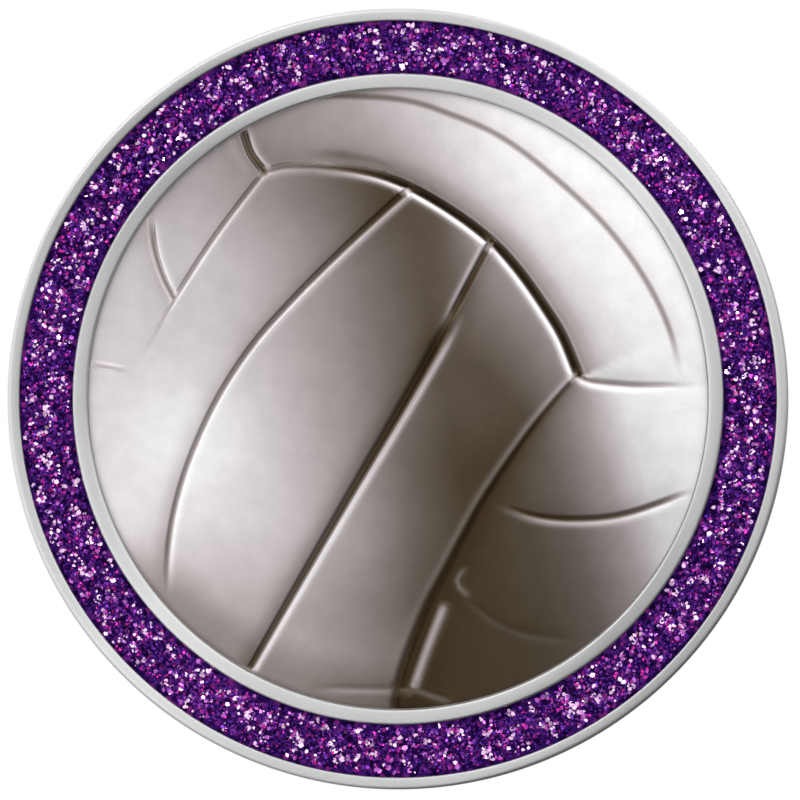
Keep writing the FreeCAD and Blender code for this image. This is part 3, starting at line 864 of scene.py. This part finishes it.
def flake_corners(centre, size, random):
    """Corners of a tilted, uneven chip at each centre, with the point behind it last."""
    tilt = np.minimum(np.abs(random.normal(0, FLAKE_TILT, FLAKES)), STEEPEST_TILT)
    lean = random.uniform(0, 2 * math.pi, FLAKES)
    normal = np.column_stack([np.sin(tilt) * np.cos(lean), -np.cos(tilt), np.sin(tilt) * np.sin(lean)])
    along = np.cross(normal, (0.0, 0.0, 1.0))
    along /= np.linalg.norm(along, axis=1)[:, None]
    over = np.cross(normal, along)

    spin = random.uniform(0, 2 * math.pi, FLAKES)
    corners = []
    for i in range(FLAKE_CORNERS):
        angle = spin + i * 2 * math.pi / FLAKE_CORNERS
        reach = size * random.uniform(*CORNER_REACH, FLAKES)
        out = along * (reach * np.cos(angle))[:, None] + over * (reach * np.sin(angle))[:, None]
        corners.append(centre + out)
    corners.append(centre - normal * FLAKE_THICKNESS)
    return np.stack(corners, axis=1).reshape(-1, 3)


def flake_field(inner, outer, top):
    """Small tilted chips of foil scattered over the band."""
    random = np.random.default_rng(FLAKE_SEED)
    size = random.uniform(*FLAKE_RADIUS, FLAKES)
    margin = size.max() * SPARKLE_SCALE + WALL_CLEARANCE
    distance = np.sqrt(random.uniform((inner + margin) ** 2, (outer - margin) ** 2, FLAKES))
    bearing = random.uniform(0, 2 * math.pi, FLAKES)
    y = top - random.uniform(*FLAKE_DEPTHS, FLAKES)
    centre = np.column_stack([distance * np.cos(bearing), y, distance * np.sin(bearing)])
    lightness = random.uniform(0, 1, FLAKES) + CLUMP_STRENGTH * clumps(centre, random)
    rank = lightness.argsort().argsort() / FLAKES
    size[rank > 1 - SPARKLE_SHARE] *= SPARKLE_SCALE
    spots = flake_corners(centre, size, random)

    faces = []
    for first in range(0, len(spots), FLAKE_CORNERS + 1):
        tip = first + FLAKE_CORNERS
        faces.append(tuple(range(first, tip)))
        faces += [(first + (i + 1) % FLAKE_CORNERS, first + i, tip) for i in range(FLAKE_CORNERS)]
    piece = mesh_piece("glitter_flakes", spots.tolist(), faces, sharp_degrees=5.0)
    for name, colour, _ in FOILS:
        piece.data.materials.append(flake_foil(name, colour))
    limits = np.cumsum([share for _, _, share in FOILS])[:-1]
    foil = np.searchsorted(limits, rank)
    face_foils = np.repeat(foil, FLAKE_CORNERS + 1).astype(np.int32)
    piece.data.polygons.foreach_set("material_index", face_foils)
    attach(piece, "emblem")
    return piece


# ---------------------------------------------------------------------------------------------------
# CAD nodes that stay
# ---------------------------------------------------------------------------------------------------

def dress_cad_nodes():
    """Give each CAD node that stays the finish of its slot."""
    brass = plated_brass()
    steel = plated_steel("plated_steel", (0.50, 0.49, 0.47), 0.24, 0.36)
    spring = plated_steel("spring_wire", (0.50, 0.51, 0.53), 0.22, 0.38)
    finishes = {"medallion_adhesive": adhesive()}
    for side in ("left", "right"):
        finishes[side + "_post"] = steel
        finishes[side + "_clutch_spring"] = spring
        for part in ("_clutch_cup", "_clutch_cover", "_wing_outer", "_wing_inner"):
            finishes[side + part] = brass
    for name, material in finishes.items():
        mesh = nodes[name].data
        mesh.materials.clear()
        mesh.materials.append(material)


# ---------------------------------------------------------------------------------------------------
# Studio
# ---------------------------------------------------------------------------------------------------

STUDIO_LEVEL = 0.95
DARKEST = 0.12
BRIGHTEST = 2.5
CORNER_SLOPE = 16.0
CORNER_BRIGHT = 1.0
CORNER_DIM = 0.52
OVERHEAD_FROM_TOP = 0.85
OVERHEAD_FROM_LEFT = 0.55
OVERHEAD_MOST = 0.35
EDGE_LIGHT_START = 0.6
EDGE_LIGHT_SLOPE = 2.0
EDGE_LIGHT_BRIGHT = 3.2
# Area lights as name, place, width and watts. The sparks light only the glitter.
SOFT_LIGHTS = [
    ("key", (-0.65, -0.38, 0.84), 0.45, 1.0),
    ("back_fill", (0.45, 0.75, 0.60), 0.45, 3.0),
]
SPARK_LIGHTS = [
    ("spark_right", (0.46, -0.60, 0.40), 0.08, 1.0),
    ("spark_left", (-0.44, -0.60, -0.40), 0.08, 1.0),
    ("spark_top", (-0.10, -0.60, 0.60), 0.07, 0.8),
]
FLOOR_HALF_WIDTH = 1.5
CAMERA_PLACE = (0.00013, -0.5, -0.000065)
FRAME_WIDTH = 1.0245


def corner_light(world, x, z, in_front):
    """Bright light from the upper right and lower left in front, dim light from the two other corners."""
    corners = combine(world, "MULTIPLY", combine(world, "MULTIPLY", x, z), in_front)
    corners = combine(world, "MULTIPLY", corners, CORNER_SLOPE)
    return combine(world, "MULTIPLY", limited(world, corners, -CORNER_DIM, CORNER_BRIGHT), in_front)


def overhead_light(world, x, z, beside):
    """Light that falls off from the upper left to the lower right, seen beside and behind the object."""
    from_top = combine(world, "MULTIPLY", z, OVERHEAD_FROM_TOP)
    overhead = combine(world, "SUBTRACT", from_top, combine(world, "MULTIPLY", x, OVERHEAD_FROM_LEFT))
    return combine(world, "MULTIPLY", combine(world, "MINIMUM", overhead, OVERHEAD_MOST), beside)


def edge_light(world, x, z, in_front, beside):
    """Oblique light from the upper left, which only the rims' rounded edges turn to the camera."""
    upper_left = combine(world, "SUBTRACT", combine(world, "SUBTRACT", z, x), EDGE_LIGHT_START)
    upper_left = limited(world, combine(world, "MULTIPLY", upper_left, EDGE_LIGHT_SLOPE), 0.0, 1.0)
    oblique = combine(world, "MULTIPLY", in_front, beside)
    return combine(world, "MULTIPLY", combine(world, "MULTIPLY", upper_left, oblique), EDGE_LIGHT_BRIGHT)


def studio_world():
    """White backdrop for the camera, and soft light from all round for the metal to reflect."""
    world = bpy.data.worlds.new("studio")
    world.use_nodes = True
    bpy.context.scene.world = world
    background = world.node_tree.nodes["Background"]
    background.inputs["Color"].default_value = (1.0, 1.0, 1.0, 1.0)

    place = add_node(world, "TexCoord")
    split = add_node(world, "SeparateXYZ")
    wire(world, place.outputs["Generated"], split.inputs["Vector"])
    x, y, z = (split.outputs[axis] for axis in "XYZ")
    in_front = combine(world, "MAXIMUM", combine(world, "MULTIPLY", y, -1.0), 0.0)
    beside = combine(world, "SUBTRACT", 1.0, in_front)
    corners = corner_light(world, x, z, in_front)
    light = combine(world, "ADD", corners, overhead_light(world, x, z, beside))
    light = combine(world, "ADD", light, STUDIO_LEVEL)
    light = combine(world, "ADD", light, edge_light(world, x, z, in_front, beside))
    light = limited(world, light, DARKEST, BRIGHTEST)
    path = add_node(world, "LightPath")
    to_white = combine(world, "SUBTRACT", 1.0, light)
    seen = combine(world, "MULTIPLY", to_white, path.outputs["Is Camera Ray"])
    wire(world, combine(world, "ADD", light, seen), background.inputs["Strength"])


def soft_light(name, place, width, watts, only=None):
    """Square area light that faces the emblem's middle, for the whole object or for one piece."""
    light = bpy.data.lights.new(name, "AREA")
    light.size = width
    light.energy = watts
    lamp = bpy.data.objects.new(name, light)
    lamp.location = place
    lamp.rotation_euler = (-Vector(place)).to_track_quat("-Z", "Y").to_euler()
    lamp.visible_camera = False
    bpy.context.scene.collection.objects.link(lamp)
    if only:
        lit = bpy.data.collections.new(name + "_receivers")
        lit.objects.link(only)
        lamp.light_linking.receiver_collection = lit


def studio_lights(flakes):
    """The lights for the whole object, and the sparks that only the flakes catch."""
    for name, place, width, watts in SOFT_LIGHTS:
        soft_light(name, place, width, watts)
    for name, place, width, watts in SPARK_LIGHTS:
        soft_light(name, place, width, watts, only=flakes)


def studio_floor():
    """Plain pale floor under the emblem."""
    half = FLOOR_HALF_WIDTH
    z = cad_box[0].z
    corners = [(-half, -half, z), (half, -half, z), (half, half, z), (-half, half, z)]
    mesh = bpy.data.meshes.new("floor")
    mesh.from_pydata(corners, [], [(0, 1, 2, 3)])
    floor = bpy.data.objects.new("floor", mesh)
    bpy.context.scene.collection.objects.link(floor)
    paint = new_material("pale_floor", Base_Color=(0.86, 0.86, 0.86, 1.0), Roughness=0.9)
    floor.data.materials.append(paint)
    floor.visible_glossy = False


def front_camera():
    """Straight-on camera with no perspective, framed a little wider than the emblem."""
    data = bpy.data.cameras.new("camera")
    data.type = "ORTHO"
    low, high = cad_box
    data.ortho_scale = (high.x - low.x) * FRAME_WIDTH
    camera = bpy.data.objects.new("camera", data)
    camera.location = CAMERA_PLACE
    camera.rotation_euler = (math.pi / 2, 0.0, 0.0)
    bpy.context.scene.collection.objects.link(camera)
    bpy.context.scene.camera = camera


dress_cad_nodes()
silver = satin_silver()
badge_tray(silver)
bezel_ring(silver)
volleyball_relief()
flakes = flake_field(*resin_bed())
studio_world()
studio_lights(flakes)
studio_floor()
front_camera()
bpy.context.scene.view_settings.view_transform = "Standard"
